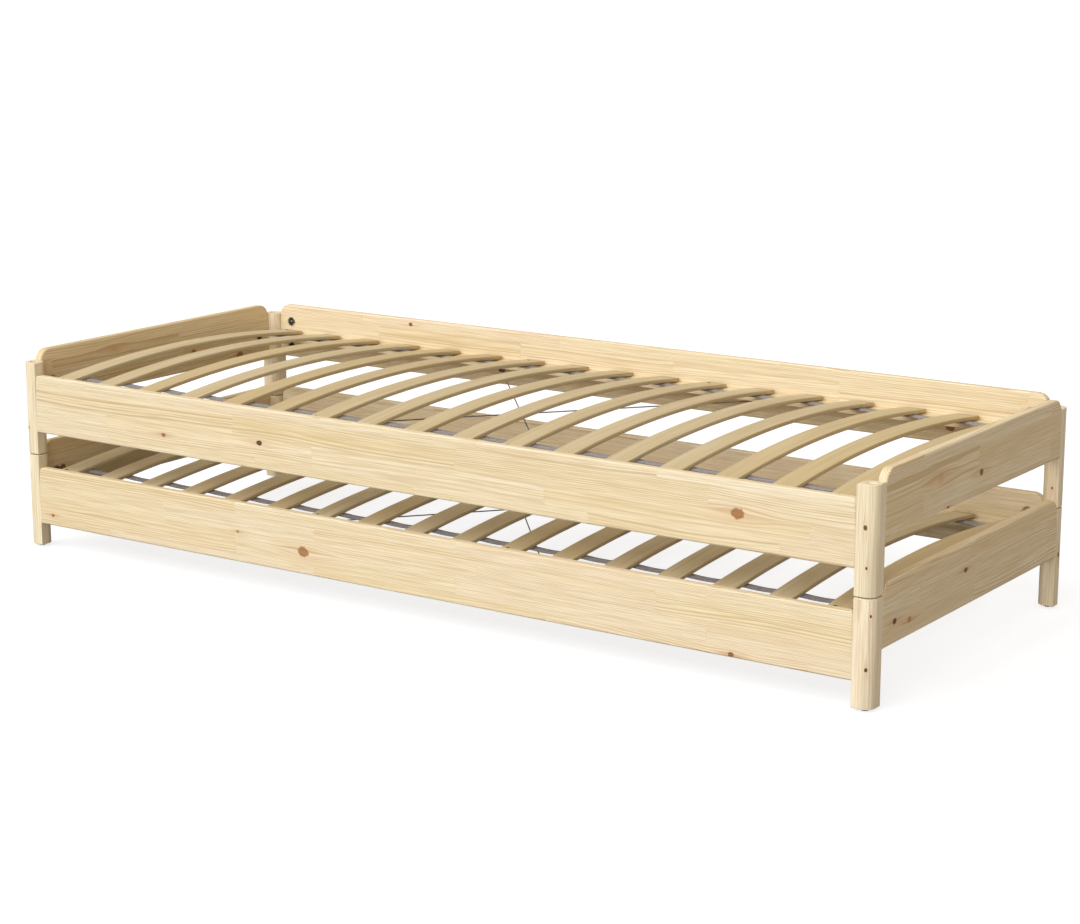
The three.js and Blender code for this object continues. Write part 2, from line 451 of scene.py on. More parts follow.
def new_finish(name):
    """A node material with one Principled shader. Gives back the material, tree and shader."""
    material = bpy.data.materials.new(name)
    material.use_nodes = True
    tree = material.node_tree
    shader = next(node for node in tree.nodes if node.type == "BSDF_PRINCIPLED")
    return material, tree, shader


def surface(tree, shader, base, roughness, height, strength, depth):
    """Links a finish's colour and roughness, and a relief of some strength and depth."""
    tree.links.new(base, shader.inputs["Base Color"])
    tree.links.new(roughness, shader.inputs["Roughness"])
    bump = tree.nodes.new("ShaderNodeBump")
    tree.links.new(height, bump.inputs["Height"])
    bump.inputs["Strength"].default_value = strength
    bump.inputs["Distance"].default_value = depth
    tree.links.new(bump.outputs["Normal"], shader.inputs["Normal"])


# ---------------------------------------------------------------- finishes

LAMELLA = 0.0417  # height of one glued strip in a board
BLOCK = 0.56  # usual length of a finger-jointed block in it

# Knots: (x, y, z), radius, how dark the middle is from 0 to 1.
FRONT_RAIL_KNOTS = (
    ((-0.617, 0, 0.296), 0.0045, 0.55),
    ((-0.356, 0, 0.311), 0.0055, 1.0),
    ((0.754, 0, 0.321), 0.0105, 0.45),
    ((-0.247, 0, 0.101), 0.0110, 0.45),
    ((0.745, 0, 0.060), 0.0050, 0.7),
    ((-0.950, 0, 0.077), 0.0035, 0.6),
    ((-0.420, 0, 0.118), 0.0030, 0.4),
)
BACK_RAIL_KNOTS = (
    ((-0.592, 0, 0.417), 0.0045, 0.8),
    ((0.780, 0, 0.338), 0.0080, 0.6),
    ((0.210, 0, 0.330), 0.0040, 0.5),
    ((0.120, 0, 0.160), 0.0085, 0.5),
    ((-0.520, 0, 0.190), 0.0060, 0.7),
    ((0.690, 0, 0.205), 0.0050, 0.9),
)
LEFT_END_KNOTS = (
    ((0, 0.110, 0.352), 0.0070, 0.5),
    ((0, 0.270, 0.321), 0.0090, 0.55),
    ((0, -0.150, 0.400), 0.0070, 0.0),
    ((0, -0.324, 0.160), 0.0070, 0.8),
    ((0, 0.060, 0.190), 0.0060, 0.5),
)
RIGHT_END_KNOTS = (
    ((0, 0.011, 0.351), 0.0062, 0.7),
    ((0, -0.161, 0.372), 0.0100, 0.0),
    ((0, -0.127, 0.311), 0.0040, 0.9),
    ((0, -0.041, 0.176), 0.0050, 0.8),
    ((0, -0.330, 0.148), 0.0058, 0.9),
    ((0, -0.271, 0.137), 0.0060, 0.25),
)
LEG_KNOTS = (
    ((1.006, -0.415, 0.332), 0.0036, 0.9),
    ((1.010, -0.415, 0.260), 0.0022, 1.0),
    ((1.019, -0.410, 0.175), 0.0022, 1.0),
    ((1.014, -0.413, 0.078), 0.0030, 1.0),
    ((-1.013, -0.415, 0.264), 0.0025, 0.9),
    ((-1.015, -0.415, 0.159), 0.0025, 0.9),
    ((1.012, 0.378, 0.247), 0.0025, 0.7),
    ((1.024, 0.392, 0.110), 0.0040, 0.8),
)


def knot_fields(tree, place, grain, knots):
    """Where the knots are, how dark they are, the tinted wood round them, and how far the grain
    is pushed aside by them."""
    along = {"X": 0, "Y": 1, "Z": 2}[grain]
    across = Vector((1, 1, 1) if grain == "Z" else (0, 0, 1))
    across[along] = 0
    longer, narrow = Vector(across), Vector(across)
    narrow[along] = 0.75
    longer[along] = 0.24
    ragged = minus(tree, noise(tree, place, 150.0, 3.0, 0.6), 0.5)
    middle = halo = dark = 0.0
    aside = Vector((0, 0, 0))
    for centre, radius, darkness in knots:
        away = vector_maths(tree, "SUBTRACT", place, Vector(centre))
        reach = vector_maths(tree, "LENGTH", vector_maths(tree, "MULTIPLY", away, narrow / radius))
        reach = times_plus(tree, ragged, 0.9, reach)
        inside = between(tree, reach, 1.05, 0.80)
        redness = min(1.0, 0.3 + 2.0 * darkness)
        middle = maths(tree, "MAXIMUM", middle, times(tree, inside, redness))
        dark = maths(tree, "MAXIMUM", dark, times(tree, inside, darkness))
        rim = between(tree, distance_from(tree, reach, 0.92), 0.17, 0.0, 0.0, 0.75 * darkness)
        dark = maths(tree, "MAXIMUM", dark, rim)
        around = vector_maths(
            tree, "LENGTH", vector_maths(tree, "MULTIPLY", away, longer / (2.6 * radius))
        )
        near = between(tree, around, 1.0, 0.1)
        halo = maths(tree, "MAXIMUM", halo, near)
        aside = vector_maths(tree, "MULTIPLY_ADD", away, near, aside)
    if knots:
        aside = vector_maths(tree, "MULTIPLY", aside, across * -0.88)
    heart_rings = maths(tree, "SINE", times(tree, halo, 60.0))
    dark = times(tree, dark, between(tree, heart_rings, -1.0, 0.6, 0.72, 1.0))
    return middle, halo, dark, aside


def pine(name, grain, middle_of_piece, seed, knots=(), heartwood_and_shade_warmth=0.0, boldness=0.85):
    """Sanded pine: growth rings about a pith beside each glued block, fibres, streaks, knots."""
    colours = bpy.context.scene.bed_colours
    material, tree, shader = new_finish(name)
    true_place = object_place(tree)
    middle, halo, dark, aside = knot_fields(tree, true_place, grain, knots)
    x, y, z = separated(tree, vector_maths(tree, "ADD", true_place, aside))
    if grain == "Z":
        # Each leg is cut from its own stick, and the four legs of a bed are alike about its middle.
        along = z
        deep = minus(tree, maths(tree, "ABSOLUTE", x), middle_of_piece[0])
        high = minus(tree, maths(tree, "ABSOLUTE", y), middle_of_piece[1])
        bed_number = maths(tree, "FLOOR", maths(tree, "DIVIDE", z, STACK_HEIGHT + 0.001))
        stick = times_plus(tree, maths(tree, "SIGN", x), 2.0, maths(tree, "SIGN", y))
        stick = times_plus(tree, bed_number, 7.0, stick)
        number, joint = plus(tree, stick, seed), None
    else:
        along, across = (x, y) if grain == "X" else (y, x)
        deep = minus(tree, across, middle_of_piece)
        high = plus(tree, z, 0.0125)
        fingers = times(tree, maths(tree, "PINGPONG", high, 0.0035), 1.6)
        bricks = tree.nodes.new("ShaderNodeTexBrick")
        bricks.offset = 0.37
        bricks.offset_frequency = 2
        bricks.squash = 0.72
        bricks.squash_frequency = 3
        shifted = plus(tree, plus(tree, along, fingers), seed * 0.217)
        feed(tree, bricks.inputs["Vector"], combined(tree, shifted, high, 0.0))
        settings = {"Color1": (0, 0, 0, 1), "Color2": (1, 1, 1, 1), "Mortar": (0.5, 0.5, 0.5, 1),
                    "Scale": 1.0, "Mortar Size": 0.00035, "Mortar Smooth": 0.2,
                    "Brick Width": BLOCK, "Row Height": LAMELLA}
        for socket, value in settings.items():
            bricks.inputs[socket].default_value = value
        joint = bricks.outputs["Fac"]
        row = maths(tree, "FLOOR", maths(tree, "DIVIDE", high, LAMELLA))
        number = times_plus(tree, bricks.outputs["Color"], 37.0, row)
        number = plus(tree, number, seed)
        high = maths(tree, "WRAP", high, LAMELLA / 2, -LAMELLA / 2)
    first, second, third = chance(tree, number)

    shift = times(tree, first, 40.0)
    slow = combined(tree, times_plus(tree, along, 1.4, shift), third, 0.0)
    bend = times(tree, minus(tree, noise(tree, slow, 1.0, 1.0), 0.5), 0.05)
    beside = plus(tree, deep, times_plus(tree, first, 0.05, 0.012))
    above = times_plus(tree, minus(tree, second, 0.5), 0.24, high)
    above = plus(tree, above, bend)
    from_pith = vector_maths(tree, "LENGTH", combined(tree, beside, above, 0.0))

    grain_place = combined(tree, plus(tree, along, shift), deep, high)
    wobble = minus(tree, drawn_out_noise(tree, grain_place, (4.0, 60.0, 60.0), 2.0), 0.5)
    spacing = times_plus(tree, third, 0.0013, 0.0022)
    rings = maths(tree, "DIVIDE", from_pith, spacing)
    rings = times_plus(tree, wobble, 0.9, rings)
    year = maths(tree, "FLOOR", rings)
    season = maths(tree, "FRACT", rings)
    vigour = chance(tree, times_plus(tree, number, 13.7, year))[0]
    rising = between(tree, season, 0.38, 0.92)
    late = times(tree, rising, between(tree, season, 1.0, 0.94))
    late = times(tree, late, times_plus(tree, vigour, 0.7, 0.3))

    streaks = drawn_out_noise(tree, grain_place, (1.2, 36.0, 50.0), 3.0)
    streaks = between(tree, streaks, 0.44, 0.72)
    fibres = drawn_out_noise(tree, grain_place, (9.0, 430.0, 430.0), 3.0, 0.6)

    heart = times_plus(tree, third, 0.18, times(tree, streaks, 0.42))
    # The added share of the yellower heart colour: on the left end boards it is painted warm shade,
    # elsewhere wood tone.
    heart = plus(tree, heart, heartwood_and_shade_warmth)
    heart = plus(tree, heart, between(tree, first, 0.66, 0.82, 0.0, 0.28))
    wood = blended(tree, between(tree, second, 0.3, 0.7), colours.pine, colours.pine_rosy)
    wood = blended(tree, heart, wood, colours.pine_heart)
    wood = blended(tree, times(tree, late, boldness), wood, colours.pine_line)
    wood = blended(tree, between(tree, fibres, 0.36, 0.70, 0.0, 0.46), wood, colours.pine_line)
    if joint:
        wood = blended(tree, times(tree, joint, 0.3), wood, colours.pine_line)
    wood = blended(tree, times(tree, halo, 0.24), wood, colours.knot_halo)
    wood = blended(tree, times(tree, middle, 0.85), wood, colours.knot_halo)
    wood = blended(tree, dark, wood, colours.knot)

    roughness = between(tree, fibres, 0.2, 0.8, 0.50, 0.68)
    height = times_plus(tree, fibres, 0.6, times(tree, late, 0.4))
    height = times_plus(tree, middle, -0.8, height)
    surface(tree, shader, wood, roughness, height, 0.35, 0.0004)
    shader.inputs["Specular IOR Level"].default_value = 0.32
    return material


def slat_arc(sizes, node):
    """Outer radius, height of the centre and half angle of a slat's arch."""
    low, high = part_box(node)
    half_span = (high.y - low.y) / 2
    radius = (half_span**2 + sizes.slat_rise**2) / (2 * sizes.slat_rise)
    return radius, high.z - radius, math.asin(half_span / radius)


def slat_pitch(bed):
    """From one slat to the next along a bed."""
    first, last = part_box(f"{bed}_slat_01"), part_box(f"{bed}_slat_17")
    return (last[0].x - first[0].x) / (len(SLAT_NUMBERS) - 1)


def birch(name):
    """Laminated birch: straight fine grain on the faces, plies and glue lines on the edges."""
    colours = bpy.context.scene.bed_colours
    sizes = bpy.context.scene.bed_sizes
    radius, centre, _ = slat_arc(sizes, "lower_slat_01")
    material, tree, shader = new_finish(name)
    x, y, z = separated(tree, object_place(tree))
    upper = maths(tree, "GREATER_THAN", z, STACK_HEIGHT + 0.1)
    local_z = times_plus(tree, upper, -STACK_HEIGHT, z)
    slat_number = maths(tree, "ROUND", maths(tree, "DIVIDE", x, slat_pitch("lower")))
    first, second, third = chance(tree, times_plus(tree, upper, 31.0, slat_number))

    from_centre = vector_maths(tree, "LENGTH", combined(tree, y, minus(tree, local_z, centre), 0.0))
    ply = sizes.slat_thickness / 5
    plies = maths(tree, "DIVIDE", minus(tree, radius + ply / 2, from_centre), ply)
    glue = between(tree, distance_from(tree, maths(tree, "FRACT", plies), 0.5), 0.40, 0.48)
    ply_tone = chance(tree, maths(tree, "FLOOR", plies))[0]

    grain_place = combined(tree, x, times_plus(tree, first, 30.0, y), from_centre)
    fine = drawn_out_noise(tree, grain_place, (420.0, 7.0, 700.0), 3.0, 0.6)
    broad = drawn_out_noise(tree, grain_place, (45.0, 1.6, 60.0), 2.0)
    streaks = drawn_out_noise(tree, grain_place, (170.0, 3.5, 220.0), 3.0, 0.6)

    warmth = times_plus(tree, second, 0.55, between(tree, broad, 0.35, 0.75, 0.0, 0.4))
    yellow = between(tree, third, 0.45, 0.9, 0.0, 0.85)
    veneer = blended(tree, yellow, colours.birch, colours.birch_yellow)
    veneer = blended(tree, warmth, veneer, colours.birch_dark)
    veneer = blended(tree, between(tree, fine, 0.35, 0.8, 0.0, 0.22), veneer, colours.birch_dark)
    veneer = blended(tree, between(tree, streaks, 0.40, 0.64, 0.0, 0.7), veneer, colours.birch_dark)
    veneer = blended(tree, times(tree, ply_tone, 0.18), veneer, colours.birch_dark)
    veneer = blended(tree, times(tree, glue, 0.7), veneer, colours.birch_glue)
    roughness = between(tree, fine, 0.2, 0.8, 0.48, 0.62)
    surface(tree, shader, veneer, roughness, minus(tree, fine, glue), 0.3, 0.0002)
    shader.inputs["Specular IOR Level"].default_value = 0.32
    return material


def woven_tape(name):
    """Grey woven webbing in a herringbone of light and dark threads."""
    colours = bpy.context.scene.bed_colours
    material, tree, shader = new_finish(name)
    place = object_place(tree)
    x, y, _ = separated(tree, place)
    zigzag = maths(tree, "PINGPONG", y, 0.0049)
    slanted = maths(tree, "FRACT", maths(tree, "DIVIDE", plus(tree, x, zigzag), 0.0042))
    rib = between(tree, distance_from(tree, slanted, 0.5), 0.05, 0.4)
    warp = maths(tree, "ABSOLUTE", maths(tree, "SINE", times(tree, y, 2600.0)))
    threads = times(tree, rib, times_plus(tree, warp, 0.5, 0.5))
    fuzz = drawn_out_noise(tree, place, (320.0, 420.0, 320.0), 3.0)
    cloth = blended(tree, threads, colours.webbing_dark, colours.webbing)
    cloth = blended(tree, between(tree, fuzz, 0.40, 0.62, 0.0, 0.65), cloth, colours.webbing_dark)
    roughness = between(tree, fuzz, 0.2, 0.8, 0.72, 0.9)
    surface(tree, shader, cloth, roughness, threads, 0.6, 0.0004)
    shader.inputs["Sheen Weight"].default_value = 0.25
    shader.inputs["Specular IOR Level"].default_value = 0.25
    return material


def plated(name, base):
    """Zinc plated steel, faintly mottled."""
    material, tree, shader = new_finish(name)
    place = object_place(tree)
    cells = tree.nodes.new("ShaderNodeTexVoronoi")
    feed(tree, cells.inputs["Vector"], place)
    cells.inputs["Scale"].default_value = 900.0
    mottle = noise(tree, place, 420.0, 3.0)
    tone = times(tree, mottle, cells.outputs["Distance"])
    metal = blended(tree, between(tree, tone, 0.05, 0.45), base, [part * 0.6 for part in base])
    roughness = between(tree, mottle, 0.3, 0.7, 0.28, 0.5)
    surface(tree, shader, metal, roughness, mottle, 0.2, 0.0002)
    shader.inputs["Metallic"].default_value = 1.0
    return material


def drawn_steel(name):
    """Dark drawn wire, slightly patchy."""
    colours = bpy.context.scene.bed_colours
    material, tree, shader = new_finish(name)
    place = object_place(tree)
    specks = noise(tree, place, 700.0, 3.0)
    patches = noise(tree, place, 40.0, 2.0)
    dark = [part * 0.55 for part in colours.wire]
    metal = blended(tree, between(tree, patches, 0.35, 0.65), colours.wire, dark)
    roughness = between(tree, specks, 0.3, 0.7, 0.3, 0.48)
    surface(tree, shader, metal, roughness, specks, 0.15, 0.0001)
    shader.inputs["Metallic"].default_value = 1.0
    return material


def moulded(name):
    """Matt black plastic with a fine moulded texture."""
    colours = bpy.context.scene.bed_colours
    material, tree, shader = new_finish(name)
    place = object_place(tree)
    pitting = noise(tree, place, 1600.0, 2.0)
    scuffs = between(tree, noise(tree, place, 220.0, 3.0), 0.55, 0.75)
    pale = [part * 3.0 for part in colours.glide]
    plastic = blended(tree, times(tree, scuffs, 0.5), colours.glide, pale)
    roughness = between(tree, pitting, 0.3, 0.7, 0.42, 0.62)
    surface(tree, shader, plastic, roughness, pitting, 0.3, 0.0002)
    return material


# ---------------------------------------------------------------- pieces

GLIDE_EASING = 0.0010
GLIDE_RIM = 0.0022  # width of the ring round the hollow underneath
GLIDE_HOLLOW = 0.0006  # depth of that hollow
GLIDE_TO_LEG = 0.0003  # gap between the disc and the foot of the leg
STEM_CLEARANCE = 0.0002  # how far the stem stops short of its full height

# What lies in a cross nut's pocket. A sink is how far a piece's middle is below the board's face.
# A shift is how far it is from the middle of the pocket, measured along the bolt: the nut towards
# the board's end and the bolt away from it.
NUT_SINK = 0.0058
NUT_RADIUS = 0.0053
NUT_LENGTH = 0.0048
NUT_SHIFT = 0.0010
NUT_EASING = 0.0005
WASHER_SINK = 0.0052
WASHER_RADIUS = 0.0098
WASHER_LENGTH = 0.0100
WASHER_FLAT = 0.0035  # from the middle of the pocket to the washer's flat side
WASHER_EASING = 0.0004
BOLT_RADIUS = 0.0029
BOLT_LENGTH = 0.0060
BOLT_SHIFT = 0.0040
BOLT_EASING = 0.0006

SCREW_CROWN = 0.0011  # height of a screw head's middle above the wood
SCREW_DOME = 0.0006  # how much lower its rim is
SCREW_CROSS_DEPTH = 0.0008
SCREW_SKIRT_DEPTH = 0.0022  # how far the head goes into the wood

LEDGE_EASING = 0.0012
LEDGE_TO_RAIL = 0.0001
TAPE_SETBACK = 0.004  # from the outer edge of the first and last slat to the tape's end
TAPE_TO_SLAT = 0.0002
WIRE_TO_RAIL = 0.0035  # from the rail's face to the middle of the wire's tail
WIRE_TAIL = 0.009  # length that lies along the rail
CLIP_RADIUS = 0.007
CLIP_EASING = 0.0015
PLATE_LENGTH = 0.016
PLATE_THICKNESS = 0.0018
PLATE_ROUNDING = 0.003
PLATE_SCREW_RADIUS = 0.0026
PLATE_SCREW_DROP = 0.002


def leg_solid(node, round_towards, sizes):
    """A leg with its two opposite edges rounded, eased ends and the recess for a glide."""
    low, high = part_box(node)
    centre = (low + high) / 2
    bm = box_between(low, high)
    upright = []
    for edge in bm.edges:
        span = span_of(edge)
        corner = (edge.verts[0].co.x - centre.x) * (edge.verts[0].co.y - centre.y)
        if abs(span.z) > abs(span.x) + abs(span.y) and corner * round_towards > 0:
            upright.append(edge)
    round_over(bm, upright, sizes.leg_rounding, 14)
    for direction in (Z_AXIS, -Z_AXIS):
        round_over(bm, list(face_towards(bm, direction).edges), sizes.leg_easing, 3)
    top = face_towards(bm, Z_AXIS)
    seat = Vector((centre.x, centre.y, high.z))
    sink_pockets(bm, top, [seat], sizes.recess_radius, sizes.recess_depth)
    return bm


def glide_solid(node):
    """A glide: an eased disc, dished underneath, with its stem pressed into the leg."""
    low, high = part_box(node)
    radius = (high.x - low.x) / 2
    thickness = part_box(node.replace("glide", "leg"))[0].z - low.z - GLIDE_TO_LEG
    place = Matrix.Translation(((low.x + high.x) / 2, (low.y + high.y) / 2, low.z + thickness / 2))
    bm = cylinder(place, radius, thickness, 32)
    smooth_round(bm, Z_AXIS)
    for direction in (Z_AXIS, -Z_AXIS):
        round_over(bm, list(face_towards(bm, direction).edges), GLIDE_EASING, 3)
    underside = face_towards(bm, -Z_AXIS)
    bmesh.ops.inset_region(bm, faces=[underside], thickness=GLIDE_RIM, depth=-GLIDE_HOLLOW)
    top = face_towards(bm, Z_AXIS)
    bmesh.ops.inset_region(bm, faces=[top], thickness=radius - GLIDE_EASING - GLIDE_RIM, depth=0.0)
    raised = bmesh.ops.extrude_face_region(bm, geom=[top])["geom"]
    bmesh.ops.delete(bm, geom=[top], context="FACES_ONLY")
    stem_height = high.z - low.z - thickness - STEM_CLEARANCE
    bmesh.ops.translate(bm, vec=Z_AXIS * stem_height, verts=verts_in(raised))
    return bm


def board_solid(low, high, inward, rounding, pocket_heights, sizes):
    """A board with rounded top corners, eased long edges and pockets on its inner face."""
    along = Y_AXIS if abs(inward.x) > 0.5 else X_AXIS
    bm = box_between(low, high)
    corners = [
        edge for edge in bm.edges
        if abs(span_of(edge).normalized().dot(inward)) > 0.9
        and edge.verts[0].co.z > high.z - 1e-4
    ]
    round_over(bm, corners, rounding, 12)
    eased = []
    for direction in (inward, -inward):
        for edge in face_towards(bm, direction).edges:
            if abs(span_of(edge).z) < 0.03:
                eased.append(edge)
    round_over(bm, eased, sizes.board_easing, 4)
    centre = (low + high) / 2
    inner = face_towards(bm, inward)
    level = inner.calc_center_median().dot(inward)
    reach = (high - low).dot(along) / 2 - sizes.pocket_inset
    pockets = [
        along * (centre.dot(along) + side * reach) + inward * level + Z_AXIS * height
        for side in (-1, 1)
        for height in pocket_heights
    ]
    sink_pockets(bm, inner, pockets, sizes.pocket_radius, sizes.pocket_depth)
    return bm, pockets, along


def cross_nut(bm, pocket, along, inward, towards_end):
    """A half-moon washer, a hex nut and the end of the leg bolt, lying in a pocket."""
    axis = along * towards_end
    centre = pocket - inward * NUT_SINK
    lie = turn_to(axis)

    washer_place = Matrix.Translation(pocket - inward * WASHER_SINK) @ turn_to(inward)
    washer = cylinder(washer_place, WASHER_RADIUS, WASHER_LENGTH, 24)
    cut = bmesh.ops.bisect_plane(
        washer, geom=everything(washer), dist=1e-6, plane_co=centre + axis * WASHER_FLAT,
        plane_no=-axis, clear_outer=True,
    )["geom_cut"]
    bmesh.ops.edgeloop_fill(washer, edges=edges_in(cut))
    ease(washer, washer.edges[:], WASHER_EASING)

    nut_place = Matrix.Translation(centre + axis * NUT_SHIFT) @ lie
    nut = cylinder(nut_place, NUT_RADIUS, NUT_LENGTH, 6)
    ease(nut, nut.edges[:], NUT_EASING)

    bolt_place = Matrix.Translation(centre - axis * BOLT_SHIFT) @ lie
    bolt = cylinder(bolt_place, BOLT_RADIUS, BOLT_LENGTH, 16)
    ends = [edge for edge in bolt.edges
            if any(abs(face.normal.dot(axis)) > 0.9 for face in edge.link_faces)]
    ease(bolt, ends, BOLT_EASING)

    for part in (washer, nut, bolt):
        join_parts(bm, part)


def slat_solid(node, sizes):
    """A laminated strip bent to an arc, its section spun about the arc's centre."""
    low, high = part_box(node)
    radius, centre_height, half_angle = slat_arc(sizes, node)
    middle = (low.x + high.x) / 2
    centre = Vector((middle, 0, centre_height))
    bm = bmesh.new()
    bmesh.ops.create_grid(bm, x_segments=1, y_segments=1, size=0.5)
    bmesh.ops.scale(bm, vec=(high.x - low.x, sizes.slat_thickness, 1), verts=bm.verts)
    bmesh.ops.bevel(
        bm, geom=bm.verts[:], offset=sizes.slat_easing, segments=2, profile=0.5,
        affect="VERTICES", material=-1,
    )
    bmesh.ops.rotate(bm, matrix=Matrix.Rotation(math.pi / 2, 3, "X"), verts=bm.verts)
    bmesh.ops.translate(
        bm, vec=(middle, 0, centre_height + radius - sizes.slat_thickness / 2), verts=bm.verts
    )
    bmesh.ops.rotate(bm, cent=centre, matrix=Matrix.Rotation(half_angle, 3, "X"), verts=bm.verts)
    bmesh.ops.spin(
        bm, geom=everything(bm), cent=centre, axis=X_AXIS, dvec=(0, 0, 0), angle=-2 * half_angle,
        steps=sizes.slat_steps, use_merge=False, use_normal_flip=False, use_duplicate=False,
    )
    bm.normal_update()
    smooth_round(bm, Y_AXIS)
    return bm


def place_on_arc(node, x, y, sizes, lift=0.0):
    """The place and turn of something on top of a slat, at a distance across the bed."""
    radius, centre_height, _ = slat_arc(sizes, node)
    tilt = math.asin(y / radius)
    height = centre_height + radius * math.cos(tilt) + lift
    return Matrix.Translation((x, y, height)) @ Matrix.Rotation(-tilt, 4, "X")


def screw_head(bm, place, radius):
    """A round screw head with a cross recess, standing a little proud of the wood."""
    head = bmesh.new()
    bmesh.ops.create_grid(head, x_segments=3, y_segments=3, size=radius)
    rim = [vert for vert in head.verts if vert.is_boundary]
    for vert in rim:
        vert.co = vert.co.normalized() * radius
    for vert in head.verts:
        if not vert.is_boundary:
            vert.co = vert.co * 0.62
    for vert in head.verts:
        vert.co.z = SCREW_CROWN - SCREW_DOME * (vert.co.length / radius) ** 2
    cross = [face for face in head.faces
             if min(abs(face.calc_center_median().x), abs(face.calc_center_median().y))
             < radius * 0.1 and face.calc_center_median().length < radius * 0.9]
    bmesh.ops.inset_region(head, faces=cross, thickness=radius * 0.05, depth=0.0)
    bmesh.ops.translate(
        head, vec=(0, 0, -SCREW_CROSS_DEPTH),
        verts=list({vert for face in cross for vert in face.verts})
    )
    skirt_edges = [edge for edge in head.edges if edge.is_boundary]
    skirt = bmesh.ops.extrude_edge_only(head, edges=skirt_edges)["geom"]
    for vert in verts_in(skirt):
        vert.co = Vector((vert.co.x * 0.7, vert.co.y * 0.7, -SCREW_SKIRT_DEPTH))
    bmesh.ops.edgeloop_fill(head, edges=[edge for edge in head.edges if edge.is_boundary])
    bmesh.ops.transform(head, matrix=place, verts=head.verts)
    join_parts(bm, head)


def tape_solid(bed, side, sizes):
    """Webbing that runs level under every slat, sagging a little in between."""
    first_low, first_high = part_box(f"{bed}_slat_01")
    last_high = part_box(f"{bed}_slat_17")[1]
    radius, centre_height, _ = slat_arc(sizes, f"{bed}_slat_01")
    start, end = first_low.x + TAPE_SETBACK, last_high.x - TAPE_SETBACK
    pitch = slat_pitch(bed)
    slat_half = (first_high.x - first_low.x) / 2
    bm = bmesh.new()
    bmesh.ops.create_grid(bm, x_segments=204, y_segments=2, size=0.5)
    bmesh.ops.scale(bm, vec=(end - start, sizes.tape_width, 1), verts=bm.verts)
    bmesh.ops.translate(bm, vec=((start + end) / 2, side * sizes.tape_reach, 0), verts=bm.verts)
    under = radius - sizes.slat_thickness - TAPE_TO_SLAT
    outer_edge = sizes.tape_reach + sizes.tape_width / 2
    level = centre_height + math.sqrt(under**2 - outer_edge**2)
    for vert in bm.verts:
        from_slat = abs((vert.co.x - (first_low.x + slat_half) + pitch / 2) % pitch - pitch / 2)
        free = max(0.0, (from_slat - slat_half) / (pitch / 2 - slat_half))
        sag = sizes.tape_sag * (1 - (1 - free) ** 2)
        vert.co.z = level - sag
    for face in bm.faces:
        face.smooth = True
    bmesh.ops.recalc_face_normals(bm, faces=bm.faces)
    if bm.faces[:][0].normal.z < 0:
        bmesh.ops.reverse_faces(bm, faces=bm.faces)
    bmesh.ops.solidify(bm, geom=bm.faces[:], thickness=sizes.tape_thickness)
    top = max(vert.co.z for vert in bm.verts)
    bmesh.ops.translate(bm, vec=(0, 0, level - top), verts=bm.verts)
    return bm


def crossing_height(node, sizes):
    """Where the two wires of a brace touch: the clip round them is the top of the brace."""
    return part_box(node)[1].z - sizes.clip_height / 2


def wire_solid(bed, mirrored, sizes):
    """One diagonal wire, bent at each end to lie along the rail."""
    node = f"{bed}_wire_brace"
    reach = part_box(node)[1].y - WIRE_TO_RAIL
    height = crossing_height(node, sizes) + sizes.wire_radius * (-1 if mirrored else 1)
    direction = Vector((sizes.wire_spread, reach, 0)).normalized()
    bend = sizes.wire_bend
    turn = math.acos(direction.x)
    straight = reach - bend * (1 - math.cos(turn))
    bm = bmesh.new()
    ring = bmesh.ops.create_circle(
        bm, cap_ends=False, segments=12, radius=sizes.wire_radius,
        matrix=Matrix.Translation((0, 0, height)) @ turn_to(direction),
    )["verts"]
    loop = list({edge for vert in ring for edge in vert.link_edges})

    def pushed(edges, step):
        made = bmesh.ops.extrude_edge_only(bm, edges=edges)["geom"]
        verts = verts_in(made)
        bmesh.ops.translate(bm, vec=step, verts=verts)
        return edges_between(made, verts)

    run = direction * (straight / direction.y)
    loop = pushed(loop, run)
    aside = Vector((direction.y, -direction.x, 0))
    centre = Vector((0, 0, height)) + run + aside * bend
    spun = bmesh.ops.spin(
        bm, geom=loop, cent=centre, axis=-Z_AXIS, dvec=(0, 0, 0), angle=turn, steps=8,
        use_merge=False, use_normal_flip=False, use_duplicate=False,
    )["geom_last"]
    loop = pushed(edges_in(spun), X_AXIS * WIRE_TAIL)
    bmesh.ops.edgeloop_fill(bm, edges=loop)
    smooth_round(bm, X_AXIS, 0.999)
    other = bmesh.ops.duplicate(bm, geom=everything(bm))["geom"]
    bmesh.ops.rotate(
        bm, cent=(0, 0, height), matrix=Matrix.Rotation(math.pi, 3, "Z"),
        verts=verts_in(other),
    )
    bmesh.ops.remove_doubles(bm, verts=bm.verts, dist=1e-5)
    if mirrored:
        bmesh.ops.scale(bm, vec=(-1, 1, 1), verts=bm.verts)
    return bm


# ---------------------------------------------------------------- operators


class BEDS_OT_camera(bpy.types.Operator):
    """Place the camera in front of the right end, a little above the beds"""

    bl_idname = "beds.camera"
    bl_label = "Camera"

    def execute(self, context):
        data = bpy.data.cameras.new("studio_camera")
        data.lens = context.scene.bed_studio.lens
        data.sensor_width = 36.0
        data.sensor_fit = "HORIZONTAL"
        data.clip_end = 200.0
        camera = bpy.data.objects.new("studio_camera", data)
        camera.location = CAMERA_PLACE
        camera.rotation_euler = (math.radians(90 - CAMERA_DIP), 0, math.radians(CAMERA_TURN))
        context.scene.collection.objects.link(camera)
        context.scene.camera = camera
        return {"FINISHED"}


